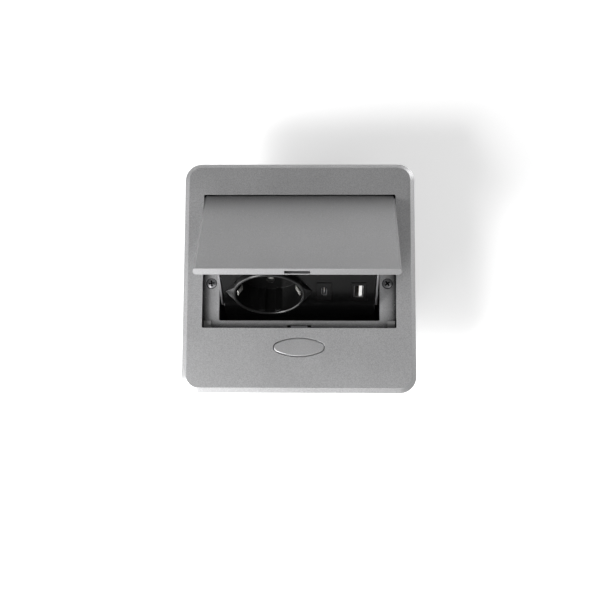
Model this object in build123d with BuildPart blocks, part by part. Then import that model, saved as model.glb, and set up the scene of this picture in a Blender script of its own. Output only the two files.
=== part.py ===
import os
from math import atan2, cos, degrees, radians, sin

from build123d import *

os.makedirs("parts", exist_ok=True)

# In-desk power module, modelled raised, in millimetres. Z is up, X is right and the front faces -Y.
# The origin is at the middle of the cover plate's underside, which lies on the desk.

# Socket module and cover plate, whose openings follow the module's width
cradle_width = 93.0
module_clearance = 2.0
ledge_side = 9.8
ledge_front = 5.1
ledge_rear = 7.6
aperture_front = -26.2
aperture_rear = 43.0
plate_side = 140.0
plate_thick = 3.0
plate_corner = 10.0
bevel_run = 2.7
bevel_rise = 2.2
opening_corner = 0.8
collar_wall = 3.0
collar_drop = 8.0
ledge_drop = 5.5
ledge_thick = 3.0
housing_recess = 0.5

# Lid and its hinge
open_angle = 45.84
lid_thick = 4.0
lid_gap = 0.3
lid_side_gap = 0.3
lid_undercut = 1.2
slot_width = 14.4
slot_height = 1.8
slot_below_top = 2.45
slot_depth = 4.0
pin_radius = 1.0
pin_in_lid = 4.0
pin_in_wall = 3.0
pin_end_gap = 0.4
pin_fit = 0.02
pin_running = 0.05
pad_size = 4.6
pad_side_gap = 0.6
pad_front_gap = 0.3
pad_top_gap = 0.3

# Cradle: sheet steel folded round the socket module
sheet = 1.0
cradle_rear = -12.0
cheek_proud = 0.6
cheek_depth = 26.0
cheek_overlap = 1.0
cheek_front_down = 13.5
cheek_cutback = 8.0

# Socket panel, which leans back by panel_tilt from flat when the lid is up
panel_tilt = 66.0
panel_thick = 3.0
panel_up = 29.6
panel_down = 26.5
panel_side_gap = 0.3
panel_corner = 1.5
panel_chamfer = 0.4
socket_below_hinge = 31.79
socket_before_hinge = 52.90

# Socket insert, for a round two-pin plug with side earth contacts
rim_radius = 21.35
rim_fit = 0.1
rim_chamfer = 0.5
cup_radius = 21.0
cup_chamfer = 2.0
well_radius = 19.5
rim_proud = 3.0
well_depth = 17.5
well_floor = 2.5
flange_radius = 23.5
flange_thick = 2.0
ear_reach = 25.7
ear_root = 19.9
ear_half_height = 7.5
ear_proud = 2.4
pin_pitch = 19.0
pin_hole_radius = 2.75
guide_flat = 18.2
guide_inner = 3.0
guide_outer = 8.5
guide_wall = 2.0
guide_below_rim = 1.5
clip_width = 4.0
clip_thick = 0.7
clip_line = 18.9
clip_bulge = 15.9
clip_lead = 0.6
clip_below_rim = 1.6
clip_foot = 12.0
clip_bend = 1.0
clip_slot_gap = 0.15

# Contact block behind the well, with the shutter
block_width = 30.0
pocket_wall = 2.3
block_depth = 14.0
block_chamfer = 2.0
pocket_left = 10.0
pocket_right = 14.0
shutter_thick = 2.0
shutter_play = 0.2
shutter_travel = 6.0
shutter_stop = 5.0
shutter_margin = 0.75
shutter_spring_radius = 0.9
contact_strip = 0.8
contact_width = 5.0
contact_mouth = 3.4
contact_waist = 2.7
contact_waist_depth = 3.0
contact_fit = 0.05
contact_setback = 0.3
contact_floor = 1.5

# USB ports, each set upright in the panel. The panel's free width is shared out between the openings.
left_share = 0.093
middle_share = 0.112
port_share = 0.538
bezel_width = 8.8
bezel_height = 18.0
bezel_proud = 0.3
bezel_fit = 0.05
usb_depth = 12.0
usb_wall = 0.3
usb_setback = 0.2
usb_c_width = 3.2
usb_c_height = 8.9
usb_c_back = 3.0
usb_c_tongue_width = 0.7
usb_c_tongue_height = 6.7
usb_c_tongue_setback = 1.4
usb_a_width = 5.6
usb_a_height = 13.0
usb_a_back = 0.8
usb_a_tongue_width = 1.84
usb_a_tongue_height = 11.5
usb_a_tongue_shift = 1.1
usb_a_tongue_setback = 0.8
board_thick = 1.6
board_half_height = 13.0
board_side_gap = 1.7998
converter_side_gap = 5.9564
converter_height = 19.0
converter_depth = 15.0
converter_up = 1.5
converter_chamfer = 0.8
terminal_width = 24.0
terminal_side_gap = 6.9564
terminal_height = 8.0
terminal_depth = 12.0
terminal_back_gap = 4.9
terminal_entry = 3.8
terminal_pitch = 8.0

# Module cover behind the panel, seated between the cheeks
cover_depth = 35.5
cover_wall = 1.4
cover_down = 26.0
cover_top_gap = 2.0
cover_fillet = 2.5
bushing_x = -30.0
bushing_height_share = 0.6
bushing_radius = 4.0
bushing_bore = 2.8
bushing_flange = 1.2
bushing_flange_thick = 1.0

# Release button, its stem with the wedge, and the springs under its arms
button_width = 30.4
button_depth = 11.2
button_end_radius = 3.0
button_y = -43.0
button_gap = 0.25
button_sunk = 0.1
button_thick = 2.6
button_chamfer = 0.5
button_travel = 2.0
stem_side_gap = 2.1
stem_depth = 7.0
stem_length = 3.9
arm_width = 35.0
arm_gap = 0.3
arm_top = 0.3
arm_thick = 1.3
wedge_back = 0.5
wedge_lead = 0.5
wedge_heel = 0.4
foot_width = 5.8
button_spring_edge = 1.9
button_spring_radius = 1.5

# Latch bolt and its housing under the plate
bolt_width = 10.0
bolt_tip = -29.2
bolt_thick = 0.9
bolt_bevel = 0.54
bolt_gap = 0.3
bolt_roof_gap = 0.3
bolt_lead = 2.4
slide_thick = 2.5
slide_gap = 0.4
riser_thick = 2.6
riser_gap = 0.1
notch_depth = 0.2
latch_spring_radius = 1.1
housing_depth = 13.0
housing_wall = 1.2
housing_front = -52.5
housing_ear_reach = 6.5
housing_ear_depth = 8.0
housing_ear_thick = 2.5

# Desk clamps
desk_thick = 25.0
clamp_y = -3.5
clamp_screw_radius = 2.0
clamp_screw_length = 53.0
clamp_screw_gap = 1.0
clamp_head_radius = 2.85
clamp_head_height = 2.0
clamp_head_sunk = 1.0
clamp_head_gap = 0.35
clamp_hole_gap = 0.15
cross_length = 3.6
cross_width = 0.8
cross_depth = 1.2
clamp_width = 12.0
clamp_height = 12.0
clamp_arm = 15.7
clamp_tip = 5.0
clamp_root = 4.0
clamp_step = 2.0
clamp_step_out = 5.0
clamp_step_in = 3.5
clamp_running = 0.1
clamp_side_gap = 0.4

# Bottom box
box_wall = 1.8
box_front_room = 1.1
box_rear_room = 1.8
box_bottom = -60.5
box_corner = 5.0
box_chamfer = 2.0
ear_depth = 8.0
ear_thick = 3.0
ear_edge_gap = 0.4
lip_side = 2.0
ear_front_y = -22.0
ear_rear_y = 36.0
rib_reach = 4.9
rib_thick = 1.6
rib_gap = 0.3
rib_top = -10.0
rib_length = 42.0
grommet_x = -30.0
grommet_z = -46.0
grommet_radius = 6.0
grommet_flange = 1.8
grommet_flange_thick = 1.8
grommet_barb = 1.2
grommet_barb_thick = 1.5
cable_radius = 4.2

# Spring rod and the two springs that lift the lid
rod_wall_gap = 3.2
rod_z = -30.0
rod_radius = 1.2
rod_end = 2.0
lug_x = 22.0
lug_thick = 2.0
lug_radius = 2.7
spring_outer = 2.7
spring_bore_gap = 0.15
spring_wire = 0.5
spring_length = 8.0
spring_inset = 6.5
spring_contact = 38.0
spring_contact_gap = 0.3
back_leg_rise = 14.0

# Sizes that follow from the ones above
aperture_width = cradle_width + 2 * module_clearance
opening_width = aperture_width + 2 * ledge_side
opening_front = aperture_front - ledge_front
opening_rear = aperture_rear + ledge_rear
box_width = aperture_width + 2 * box_wall
box_front = aperture_front - box_front_room - box_wall
box_rear = aperture_rear + box_rear_room + box_wall
clamp_x = box_width / 2 + clamp_screw_gap + clamp_screw_radius
rod_y = box_rear - box_wall - rod_wall_gap
panel_width = cradle_width - 2 * sheet - 2 * panel_side_gap
free_width = panel_width - 2 * ear_reach - 2 * bezel_width
socket_x = -panel_width / 2 + left_share * free_width + ear_reach
usb_c_x = socket_x + ear_reach + middle_share * free_width + bezel_width / 2
usb_a_x = usb_c_x + bezel_width + port_share * free_width
ports_x = (usb_c_x + usb_a_x) / 2
shutter_half_height = pin_pitch / 2 + pin_hole_radius + shutter_margin
block_height = 2 * (shutter_half_height + shutter_play + pocket_wall)
cover_inner = cradle_width / 2 - sheet - cover_wall
board_width = 2 * (cover_inner - ports_x - board_side_gap)
converter_width = 2 * (cover_inner - ports_x - converter_side_gap)
terminal_x = cover_inner - terminal_side_gap - terminal_width / 2
terminal_back = terminal_back_gap - cover_depth
housing_width = arm_width + 2 * (arm_gap + housing_wall)
spring_spread = arm_width / 2 - button_spring_edge
stem_width = 2 * (spring_spread - button_spring_radius - stem_side_gap)

# Planes that follow the hinge. Inside the swing, y runs from the hinge axis and z out of the lid.
hinge_drop = lid_thick / 2
hinge_y = opening_rear - lid_gap - hinge_drop
hinge_z = plate_thick - hinge_drop
lid_reach = hinge_y - opening_front - lid_gap
lid_width = opening_width - 2 * lid_side_gap
swing = Pos(0, hinge_y, hinge_z) * Rot(-open_angle, 0, 0)
lean = open_angle + panel_tilt - 90
panel_place = swing * Pos(0, -socket_before_hinge, -socket_below_hinge) * Rot(90 + lean, 0, 0)
panel_face = Plane(panel_place)
panel_out = Axis((0, 0, 0), panel_face.z_dir)

def swung(plane):
    """Return a plane of the closed module, carried to the raised place."""
    return Plane(swing * plane.location)


def on_panel(out, x=0.0):
    """Return a plane parallel to the panel face, a distance out of it."""
    return Plane(panel_place * Pos(x, 0, out))


def slope_point(up, out):
    """Return the closed module's (y, z) of a point up the panel and out of it."""
    tilt = radians(lean)
    y = -socket_before_hinge - up * sin(tilt) - out * cos(tilt)
    z = -socket_below_hinge + up * cos(tilt) - out * sin(tilt)
    return (y, z)


def oval_outline(grow=0.0):
    """Return the button's outline as a sketch of four arcs, grown by a gap."""
    half = button_depth / 2
    end_x = button_width / 2 - button_end_radius
    side_radius = (end_x ** 2 + half ** 2 - button_end_radius ** 2) / (2 * (half - button_end_radius))
    spread = side_radius - button_end_radius
    join_x = end_x + (button_end_radius + grow) * end_x / spread
    join_y = (button_end_radius + grow) * (side_radius - half) / spread
    with BuildSketch() as outline:
        with BuildLine():
            ThreePointArc((-join_x, join_y), (0, half + grow), (join_x, join_y))
            ThreePointArc((join_x, join_y), (button_width / 2 + grow, 0), (join_x, -join_y))
            ThreePointArc((join_x, -join_y), (0, -half - grow), (-join_x, -join_y))
            ThreePointArc((-join_x, -join_y), (-button_width / 2 - grow, 0), (-join_x, join_y))
        make_face()
    return outline.sketch


def button_plane(height):
    """Return a level plane over the middle of the button."""
    return Plane((0, button_y, height), x_dir=(1, 0, 0), z_dir=(0, 0, 1))


# Cover plate: a casting with a collar, a ledge inside the opening and a seat for the latch housing
opening_mid = (opening_front + opening_rear) / 2
opening_depth = opening_rear - opening_front
aperture_mid = (aperture_front + aperture_rear) / 2
ledge_top = plate_thick - ledge_drop
ledge_bottom = ledge_top - ledge_thick
bolt_z = plate_thick - slot_below_top
collar_front = opening_front - collar_wall
clamp_spots = [(-clamp_x, clamp_y), (clamp_x, clamp_y)]

with BuildPart() as cover_plate:
    with BuildSketch(Plane.XY):
        RectangleRounded(plate_side, plate_side, plate_corner)
    extrude(amount=plate_thick - bevel_rise)
    with BuildSketch(Plane.XY.offset(plate_thick - bevel_rise)):
        RectangleRounded(plate_side, plate_side, plate_corner)
    extrude(amount=bevel_rise, taper=degrees(atan2(bevel_run, bevel_rise)))
    with BuildSketch(Plane.XY):
        with Locations((0, collar_front)):
            Rectangle(housing_width, collar_front - housing_front, align=(Align.CENTER, Align.MAX))
        with Locations((0, button_y)):
            Rectangle(housing_width + 2 * housing_ear_reach, housing_ear_depth)
    extrude(amount=housing_recess, mode=Mode.SUBTRACT)
    with BuildSketch(Plane.XY):
        with Locations((0, opening_mid)):
            RectangleRounded(
                opening_width + 2 * collar_wall, opening_depth + 2 * collar_wall, opening_corner + collar_wall
            )
    extrude(amount=-collar_drop)
    with BuildSketch(Plane.XY.offset(ledge_top)):
        with Locations((0, opening_mid)):
            RectangleRounded(opening_width, opening_depth, opening_corner)
    extrude(amount=ledge_drop, mode=Mode.SUBTRACT)
    with BuildSketch(Plane.XY.offset(-collar_drop)):
        with Locations((0, opening_mid)):
            RectangleRounded(opening_width, opening_depth, opening_corner)
    extrude(amount=collar_drop + ledge_bottom, mode=Mode.SUBTRACT)
    with BuildSketch(Plane.XY.offset(ledge_bottom)):
        with Locations((0, aperture_mid)):
            RectangleRounded(aperture_width, aperture_rear - aperture_front, opening_corner)
        with Locations(*clamp_spots):
            Circle(clamp_screw_radius + clamp_hole_gap)
        with Locations((0, opening_front)):
            Rectangle(slot_width, bolt_tip + notch_depth - opening_front, align=(Align.CENTER, Align.MIN))
    extrude(amount=ledge_thick, mode=Mode.SUBTRACT)
    with BuildSketch(Plane.XY.offset(ledge_top - clamp_head_sunk)):
        with Locations(*clamp_spots):
            Circle(clamp_head_radius + clamp_head_gap)
    extrude(amount=clamp_head_sunk, mode=Mode.SUBTRACT)
    with BuildSketch(Plane.YZ):
        with Locations((hinge_y, hinge_z)):
            Circle(pin_radius + pin_fit)
    extrude(amount=opening_width / 2 + pin_in_wall, both=True, mode=Mode.SUBTRACT)
    with BuildSketch(button_plane(0)):
        add(oval_outline(button_gap))
    extrude(amount=plate_thick, mode=Mode.SUBTRACT)
    with BuildSketch(Plane.YZ):
        with Locations((opening_front, bolt_z + bolt_thick / 2 + bolt_roof_gap)):
            Rectangle(
                opening_front - button_y - button_depth / 2,
                bolt_z + bolt_thick / 2 + bolt_roof_gap + collar_drop,
                align=Align.MAX,
            )
    extrude(amount=bolt_width / 2 + bolt_gap, both=True, mode=Mode.SUBTRACT)

# Hinge pins, pressed into the casting on both sides of the opening
with BuildPart() as hinge_pin_left:
    with BuildSketch(Plane.YZ.offset(-opening_width / 2 - pin_in_wall)):
        with Locations((hinge_y, hinge_z)):
            Circle(pin_radius)
    extrude(amount=pin_in_wall + lid_side_gap + pin_in_lid)

with BuildPart() as hinge_pin_right:
    add(mirror(hinge_pin_left.part, about=Plane.YZ))

# Rubber pads that the closed lid comes down on
pad_x = opening_width / 2 - pad_side_gap - pad_size / 2
pad_y = opening_front + pad_front_gap + pad_size / 2
pad_parts = {}
for name, side in (("lid_pad_left", -1), ("lid_pad_right", 1)):
    with BuildPart() as pad:
        with BuildSketch(Plane.XY.offset(ledge_top)):
            with Locations((side * pad_x, pad_y)):
                Rectangle(pad_size, pad_size)
        extrude(amount=ledge_drop - lid_thick - pad_top_gap)
    pad_parts[name] = pad

# Lid, with a full round about the hinge axis and a slot for the latch in its front edge
with BuildPart() as lid:
    with BuildSketch(swung(Plane.YZ)):
        with BuildLine():
            Polyline(
                (0, hinge_drop), (-lid_reach, hinge_drop), (-lid_reach, -hinge_drop), (0, -hinge_drop)
            )
            ThreePointArc((0, -hinge_drop), (hinge_drop, 0), (0, hinge_drop))
        make_face()
    extrude(amount=lid_width / 2, both=True)
    side_edges = lid.edges().filter_by(Axis((0, 0, 0), swung(Plane.XY).y_dir))
    low_edges = side_edges.sort_by(Axis((0, 0, 0), swung(Plane.XY).z_dir))[:2]
    chamfer(low_edges, length=lid_undercut)
    with BuildSketch(swung(Plane.XZ.offset(lid_reach))):
        with Locations((0, hinge_drop - slot_below_top)):
            Rectangle(slot_width, slot_height)
    extrude(amount=-slot_depth, mode=Mode.SUBTRACT)
    with BuildSketch(swung(Plane.YZ.offset(lid_width / 2))):
        Circle(pin_radius + pin_running)
    extrude(amount=-pin_in_lid - pin_end_gap, mode=Mode.SUBTRACT)
    with BuildSketch(swung(Plane.YZ.offset(-lid_width / 2))):
        Circle(pin_radius + pin_running)
    extrude(amount=pin_in_lid + pin_end_gap, mode=Mode.SUBTRACT)

# Cradle: a web under the lid and a cheek on each side of the module
fold_height = socket_below_hinge + 2 * panel_down
cheek_low = -panel_down - cheek_overlap
cheek_front_top = slope_point((socket_below_hinge - hinge_drop) / cos(radians(lean)), cheek_proud)
with BuildPart() as cradle:
    with BuildSketch(swung(Plane.XZ)) as fold:
        with Locations((0, -hinge_drop)):
            Rectangle(cradle_width, fold_height, align=(Align.CENTER, Align.MAX))
        fillet(fold.vertices().sort_by(Axis((0, 0, 0), swung(Plane.XY).z_dir))[-2:], radius=sheet)
        with Locations((0, -hinge_drop - sheet)):
            Rectangle(
                cradle_width - 2 * sheet, fold_height, align=(Align.CENTER, Align.MAX), mode=Mode.SUBTRACT
            )
    extrude(amount=lid_reach)
    with BuildSketch(swung(Plane.YZ)):
        with BuildLine():
            Polyline(
                (cheek_front_top[0], -hinge_drop),
                slope_point(-cheek_front_down, cheek_proud),
                slope_point(cheek_low, -cheek_cutback),
                slope_point(cheek_low, -cheek_depth),
                (cradle_rear, -socket_below_hinge),
                (cradle_rear, -hinge_drop),
                close=True,
            )
        make_face()
    extrude(amount=cradle_width, both=True, mode=Mode.INTERSECT)

# Socket panel, with openings for the insert and the two port bezels
panel_mid = (panel_up - panel_down) / 2
bezel_spots = [(usb_c_x, 0), (usb_a_x, 0)]
with BuildPart() as socket_panel:
    with BuildSketch(panel_face):
        with Locations((0, panel_mid)):
            RectangleRounded(panel_width, panel_up + panel_down, panel_corner)
        with Locations((socket_x, 0)):
            Circle(rim_radius + rim_fit, mode=Mode.SUBTRACT)
        with Locations(*bezel_spots):
            Rectangle(bezel_width + 2 * bezel_fit, bezel_height + 2 * bezel_fit, mode=Mode.SUBTRACT)
    extrude(amount=-panel_thick)
    chamfer(socket_panel.faces().sort_by(panel_out)[-1].outer_wire().edges(), length=panel_chamfer)

# Side lugs of the socket insert, which slope from the rim down to their tips on the panel
ear_taper = degrees(atan2(ear_reach - rim_radius, ear_proud))
with BuildPart() as ears:
    with BuildSketch(on_panel(0, socket_x)):
        for side in (-1, 1):
            with BuildLine():
                Polyline(
                    (side * ear_root, ear_half_height),
                    (side * ear_reach, 0),
                    (side * ear_root, -ear_half_height),
                    close=True,
                )
            make_face()
    extrude(amount=ear_proud)
    with BuildSketch(on_panel(0, socket_x)):
        Circle(ear_reach)
    extrude(amount=ear_proud, taper=ear_taper, mode=Mode.INTERSECT)

# Socket insert: a round well with earth slots, two shoulders above and two below
floor_back = rim_proud - well_depth - well_floor
shoulder_mid = (guide_inner + guide_outer) / 2
shoulder_spots = [
    (side * shoulder_mid, end * (guide_flat + guide_wall / 2)) for side in (-1, 1) for end in (-1, 1)
]
with BuildPart() as socket_insert:
    with BuildSketch(on_panel(floor_back, socket_x)):
        Circle(cup_radius)
    extrude(amount=-floor_back)
    chamfer(socket_insert.faces().sort_by(panel_out)[0].edges(), length=cup_chamfer)
    with BuildSketch(on_panel(-panel_thick, socket_x)):
        Circle(rim_radius)
    extrude(amount=panel_thick + rim_proud)
    with BuildSketch(on_panel(-panel_thick, socket_x)):
        Circle(flange_radius)
    extrude(amount=-flange_thick)
    add(ears.part)
    with BuildSketch(on_panel(rim_proud, socket_x)) as well:
        Circle(well_radius)
    extrude(amount=-well_depth, mode=Mode.SUBTRACT)
    with BuildSketch(on_panel(rim_proud - well_depth, socket_x)):
        with Locations(*shoulder_spots):
            Rectangle(guide_outer - guide_inner, guide_wall)
        add(well.sketch_local, mode=Mode.INTERSECT)
    extrude(amount=well_depth - guide_below_rim)
    with BuildSketch(on_panel(rim_proud - well_depth, socket_x)):
        with Locations((0, -pin_pitch / 2), (0, pin_pitch / 2)):
            Circle(pin_hole_radius)
        with Locations((-clip_line, 0), (clip_line, 0)):
            Rectangle(clip_thick + 2 * clip_slot_gap, clip_width + 2 * clip_slot_gap)
    extrude(amount=-well_floor, mode=Mode.SUBTRACT)
    chamfer(socket_insert.edges().filter_by(GeomType.CIRCLE).group_by(panel_out)[-1], length=rim_chamfer)

# Contact block: a chamber for each contact and a pocket for the shutter
block_back = floor_back - block_depth
pocket_depth = shutter_thick + 2 * shutter_play
pocket_mid = (pocket_right - pocket_left) / 2
with BuildPart() as contact_block:
    with BuildSketch(on_panel(floor_back, socket_x)):
        Rectangle(block_width, block_height)
    extrude(amount=-block_depth)
    top_back = contact_block.edges().filter_by(Axis.X).sort_by(Axis((0, 0, 0), swung(Plane.XY).z_dir))[-1]
    chamfer(top_back, length=block_chamfer)
    with BuildSketch(on_panel(floor_back, socket_x)):
        with Locations((pocket_mid, 0)):
            Rectangle(pocket_right + pocket_left, 2 * (shutter_half_height + shutter_play))
    extrude(amount=-pocket_depth, mode=Mode.SUBTRACT)
    with BuildSketch(on_panel(floor_back - pocket_depth, socket_x)):
        with Locations((0, -pin_pitch / 2), (0, pin_pitch / 2)):
            Rectangle(2 * contact_mouth + contact_strip + 2 * contact_fit, contact_width + 2 * contact_fit)
    extrude(amount=block_back + contact_floor - floor_back + pocket_depth, mode=Mode.SUBTRACT)

shutter_left = -pocket_left + shutter_play
shutter_right = pocket_right - shutter_travel - shutter_stop
with BuildPart() as shutter:
    with BuildSketch(on_panel(floor_back - shutter_play, socket_x)):
        with Locations(((shutter_left + shutter_right) / 2, 0)):
            Rectangle(shutter_right - shutter_left, 2 * shutter_half_height)
        with Locations((-shutter_travel, -pin_pitch / 2), (-shutter_travel, pin_pitch / 2)):
            Circle(pin_hole_radius, mode=Mode.SUBTRACT)
    extrude(amount=-shutter_thick)

spring_seat = Pos(socket_x + shutter_right, 0, floor_back - pocket_depth / 2) * Rot(0, 90, 0)
with BuildPart() as shutter_spring:
    with BuildSketch(Plane(panel_place * spring_seat)):
        Circle(shutter_spring_radius)
    extrude(amount=pocket_right - shutter_right)

# Contacts: forks of folded strip, seated on the floor of their chambers
contact_parts = {}
contact_front = floor_back - pocket_depth - contact_setback
contact_back = block_back + contact_floor + contact_strip / 2
waist_level = contact_front - contact_waist_depth
for name, side in (("contact_upper", 1), ("contact_lower", -1)):
    with BuildPart() as contact:
        with BuildSketch(Plane(panel_place * Pos(socket_x, side * pin_pitch / 2, 0) * Rot(90, 0, 0))):
            with BuildLine():
                Polyline(
                    (-contact_mouth, contact_front),
                    (-contact_waist, waist_level),
                    (-contact_mouth, contact_back),
                    (contact_mouth, contact_back),
                    (contact_waist, waist_level),
                    (contact_mouth, contact_front),
                )
            trace(line_width=contact_strip)
        extrude(amount=contact_width / 2, both=True)
    contact_parts[name] = contact

# Earth bracket: a strap behind the block whose two legs are the side clips in the well
strap_line = block_back - clip_thick / 2
with BuildPart() as earth_bracket:
    with BuildSketch(Plane(panel_place * Pos(socket_x, 0, 0) * Rot(90, 0, 0))):
        with BuildLine() as clip_path:
            FilletPolyline(
                (-clip_line + clip_lead, rim_proud - clip_below_rim),
                (-clip_bulge, -rim_proud),
                (-clip_line, -clip_foot),
                (-clip_line, strap_line),
                (clip_line, strap_line),
                (clip_line, -clip_foot),
                (clip_bulge, -rim_proud),
                (clip_line - clip_lead, rim_proud - clip_below_rim),
                radius=clip_bend,
            )
        trace(line_width=clip_thick)
    extrude(amount=clip_width / 2, both=True)

# USB ports: bezel, steel shell closed at its back, and tongue
with BuildPart() as usb_c_bezel:
    with BuildSketch(on_panel(bezel_proud, usb_c_x)):
        Rectangle(bezel_width, bezel_height)
        SlotOverall(usb_c_height + 2 * bezel_fit, usb_c_width + 2 * bezel_fit, rotation=90, mode=Mode.SUBTRACT)
    extrude(amount=-panel_thick - bezel_proud)

with BuildPart() as usb_a_bezel:
    with BuildSketch(on_panel(bezel_proud, usb_a_x)):
        Rectangle(bezel_width, bezel_height)
        Rectangle(usb_a_width + 2 * bezel_fit, usb_a_height + 2 * bezel_fit, mode=Mode.SUBTRACT)
    extrude(amount=-panel_thick - bezel_proud)

with BuildPart() as usb_c_shell:
    with BuildSketch(on_panel(-usb_depth, usb_c_x)):
        SlotOverall(usb_c_height, usb_c_width, rotation=90)
    extrude(amount=usb_depth - usb_setback)
    with BuildSketch(on_panel(-usb_setback, usb_c_x)):
        SlotOverall(usb_c_height - 2 * usb_wall, usb_c_width - 2 * usb_wall, rotation=90)
    extrude(amount=-usb_depth + usb_c_back, mode=Mode.SUBTRACT)

with BuildPart() as usb_c_tongue:
    with BuildSketch(on_panel(-usb_depth + usb_c_back - usb_setback, usb_c_x)):
        Rectangle(usb_c_tongue_width, usb_c_tongue_height)
    extrude(amount=usb_depth - usb_c_back + usb_setback - usb_c_tongue_setback)

with BuildPart() as usb_a_shell:
    with BuildSketch(on_panel(-usb_depth, usb_a_x)):
        Rectangle(usb_a_width, usb_a_height)
    extrude(amount=usb_depth - usb_setback)
    with BuildSketch(on_panel(-usb_setback, usb_a_x)):
        Rectangle(usb_a_width - 2 * usb_wall, usb_a_height - 2 * usb_wall)
    extrude(amount=-usb_depth + usb_a_back, mode=Mode.SUBTRACT)

with BuildPart() as usb_a_tongue:
    with BuildSketch(on_panel(-usb_depth + usb_a_back - usb_setback, usb_a_x + usb_a_tongue_shift)):
        Rectangle(usb_a_tongue_width, usb_a_tongue_height)
    extrude(amount=usb_depth - usb_a_back + usb_setback - usb_a_tongue_setback)

board_back = -usb_depth - board_thick
with BuildPart() as usb_board:
    with BuildSketch(on_panel(-usb_depth, ports_x)):
        Rectangle(board_width, 2 * board_half_height)
    extrude(amount=-board_thick)

with BuildPart() as usb_converter:
    with BuildSketch(on_panel(board_back, ports_x)):
        with Locations((0, converter_up)):
            Rectangle(converter_width, converter_height)
    extrude(amount=-converter_depth)
    chamfer(usb_converter.faces().sort_by(panel_out)[0].edges(), length=converter_chamfer)

# Module cover: a moulded shell behind the panel, with a bushing for the leads
cover_rear = slope_point(-cover_down, -cover_depth)[0]
cover_top = -hinge_drop - sheet - cover_top_gap
cover_front_up = (cover_top + socket_below_hinge - panel_thick * sin(radians(lean))) / cos(radians(lean))
bushing_spot = (bushing_x, -socket_below_hinge * bushing_height_share)
with BuildPart() as module_cover:
    with BuildSketch(swung(Plane.YZ)) as cover_side:
        with BuildLine():
            Polyline(
                slope_point(cover_front_up, -panel_thick),
                slope_point(-cover_down, -panel_thick),
                slope_point(-cover_down, -cover_depth),
                (cover_rear, cover_top),
                close=True,
            )
        make_face()
    extrude(amount=cradle_width / 2 - sheet, both=True)
    rear_edges = module_cover.edges().filter_by(Axis.X).sort_by(Axis((0, 0, 0), swung(Plane.XY).y_dir))[-2:]
    fillet(rear_edges, radius=cover_fillet)
    offset(amount=-cover_wall, openings=module_cover.faces().sort_by(panel_out)[-1])
    with BuildSketch(swung(Plane.XZ.offset(-cover_rear))):
        with Locations(bushing_spot):
            Circle(bushing_radius)
    extrude(amount=2 * cover_wall, both=True, mode=Mode.SUBTRACT)

with BuildPart() as lead_bushing:
    with BuildSketch(swung(Plane.XZ.offset(-cover_rear))):
        with Locations(bushing_spot):
            Circle(bushing_radius + bushing_flange)
    extrude(amount=-bushing_flange_thick)
    with BuildSketch(swung(Plane.XZ.offset(-cover_rear))):
        with Locations(bushing_spot):
            Circle(bushing_radius)
    extrude(amount=cover_wall + bushing_flange_thick)
    with BuildSketch(swung(Plane.XZ.offset(-cover_rear - bushing_flange_thick))):
        with Locations(bushing_spot):
            Circle(bushing_bore)
    extrude(amount=cover_wall + 2 * bushing_flange_thick, mode=Mode.SUBTRACT)

with BuildPart() as terminal_block:
    with BuildSketch(on_panel(terminal_back + terminal_depth, terminal_x)):
        with Locations((0, -cover_down + cover_wall)):
            Rectangle(terminal_width, terminal_height, align=(Align.CENTER, Align.MIN))
    extrude(amount=-terminal_depth)
    with BuildSketch(on_panel(terminal_back, terminal_x)):
        with Locations((0, -cover_down + cover_wall + terminal_height / 2)):
            with GridLocations(terminal_pitch, 0, 3, 1):
                Rectangle(terminal_entry, terminal_entry)
    extrude(amount=terminal_height, mode=Mode.SUBTRACT)

# Release button: an oval cap on a stem with a wedge that drives the bolt back
cap_top = plate_thick - button_sunk
cap_bottom = cap_top - button_thick
stem_bottom = cap_bottom - stem_length
slide_top = stem_bottom - button_travel - slide_gap
slide_bottom = slide_top - slide_thick
wedge_top_y = button_y - wedge_back
wedge_top_z = slide_top + wedge_lead
wedge_tip_z = slide_bottom - wedge_lead
wedge_tip_y = wedge_top_y + wedge_top_z - wedge_tip_z
foot_rear = wedge_tip_y + wedge_heel
with BuildPart() as release_button:
    with BuildSketch(button_plane(cap_bottom)):
        add(oval_outline())
    extrude(amount=button_thick)
    chamfer(release_button.faces().sort_by(Axis.Z)[-1].edges(), length=button_chamfer)
    with BuildSketch(button_plane(stem_bottom)):
        Rectangle(stem_width, stem_depth)
    extrude(amount=cap_bottom - stem_bottom)
    with BuildSketch(button_plane(-arm_top)):
        Rectangle(arm_width, stem_depth)
    extrude(amount=-arm_thick)
    with BuildSketch(Plane.YZ):
        with BuildLine():
            Polyline(
                (wedge_top_y, stem_bottom),
                (wedge_top_y, wedge_top_z),
                (wedge_tip_y, wedge_tip_z),
                (foot_rear, wedge_tip_z),
                (foot_rear, stem_bottom),
                close=True,
            )
        make_face()
    extrude(amount=foot_width / 2, both=True)

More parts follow.
